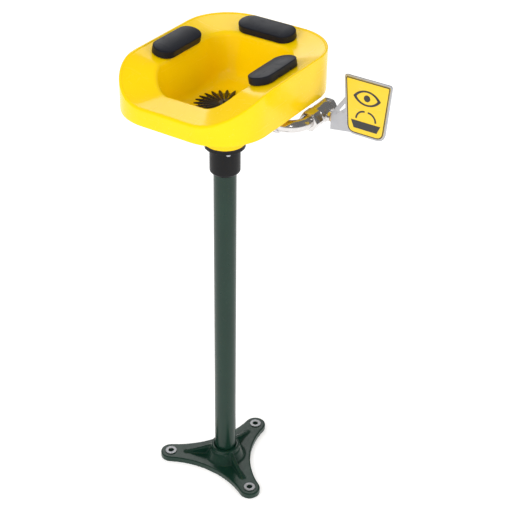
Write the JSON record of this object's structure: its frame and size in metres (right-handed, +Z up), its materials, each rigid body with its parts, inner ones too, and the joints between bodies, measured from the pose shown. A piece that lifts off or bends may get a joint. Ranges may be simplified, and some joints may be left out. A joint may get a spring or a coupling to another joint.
{
  "type": "eyewash station",
  "caption": "Pedestal eyewash station with a moulded bowl, hinged dust covers over its spray heads, a push-flag ball valve, a pipe pedestal and a lobed floor flange.",
  "frame": {"origin": "on the floor, on the axis of the pedestal pipe", "axes": "+Z up along the pedestal, -Y toward the user, +X toward the valve and its push flag"},
  "size_m": [0.4326, 0.346, 0.9201],
  "materials": {
    "green_paint": "dark green enamel on cast iron and steel pipe",
    "zinc": "zinc plated",
    "black_plastic": "satin black moulded plastic",
    "rubber": "black rubber",
    "yellow_bowl": "glossy safety yellow moulding",
    "strainer_black": "flexible black strainer",
    "stainless": "stainless steel",
    "cover_plastic": "dark blue-grey moulded plastic, satin",
    "head_plastic": "dark grey moulded plastic",
    "brass": "cast brass fittings",
    "chrome": "bright plated pipe and valve",
    "blue_plastic": "flow control insert",
    "seat_white": "white valve seat and packing",
    "sheet_steel": "brushed stainless sheet",
    "sign_yellow": "yellow sign face",
    "sign_black": "black printed symbol"
  },
  "bodies": {
    "stand": {"floor_flange": "green_paint", "anchor_washers": "zinc", "pedestal_pipe": "green_paint", "pedestal_socket": "black_plastic", "socket_gasket": "rubber", "socket_screws": "zinc", "bowl": "yellow_bowl", "strainer": "strainer_black", "strainer_bar": "stainless", "strainer_screw": "strainer_black", "gasket_left": "rubber", "gasket_right": "rubber", "gasket_back": "rubber", "spray_head_left": "head_plastic", "spray_head_right": "head_plastic", "spray_head_back": "head_plastic", "jet_plate_left": "stainless", "jet_plate_right": "stainless", "jet_plate_back": "stainless", "locknut_left": "brass", "locknut_right": "brass", "locknut_back": "brass", "hinge_pin_left": "stainless", "hinge_pin_right": "stainless", "hinge_pin_back": "stainless", "right_tee": "brass", "back_tee": "brass", "left_elbow": "brass", "feed_tube_right": "stainless", "feed_tube_left": "stainless", "feed_nuts": "brass", "supply_elbow": "chrome", "riser_nipple": "stainless", "supply_pipe": "chrome", "union_nut": "chrome", "flow_control": "blue_plastic", "valve_body": "chrome", "valve_end": "chrome", "valve_seats": "seat_white", "stem_packing": "seat_white", "gland_nut": "brass"},
    "push_handle": {"valve_ball": "chrome", "valve_stem": "stainless", "handle_nut": "stainless", "flag_bracket": "sheet_steel", "flag_plate": "sheet_steel", "flag_face": "sign_yellow", "flag_symbol": "sign_black", "flag_rivets": "stainless"},
    "cover_left": {"dust_cover_left": "cover_plastic"},
    "cover_right": {"dust_cover_right": "cover_plastic"},
    "cover_back": {"dust_cover_back": "cover_plastic"}
  },
  "joints": [
    {"name": "valve_lever", "type": "hinge", "parent": "stand", "child": "push_handle", "pos_m": [0.149, 0.073, 0.812], "axis": [-1, 0, 0], "range_deg": [0, 90]},
    {"name": "cover_left_hinge", "type": "hinge", "parent": "stand", "child": "cover_left", "pos_m": [-0.11929, -0.003, 0.90871], "axis": [0, -1, 0], "range_deg": [0, 95]},
    {"name": "cover_right_hinge", "type": "hinge", "parent": "stand", "child": "cover_right", "pos_m": [0.11929, -0.003, 0.90871], "axis": [0, 1, 0], "range_deg": [0, 95]},
    {"name": "cover_back_hinge", "type": "hinge", "parent": "stand", "child": "cover_back", "pos_m": [0, 0.15243, 0.90904], "axis": [-1, 0, 0], "range_deg": [0, 95]}
  ]
}
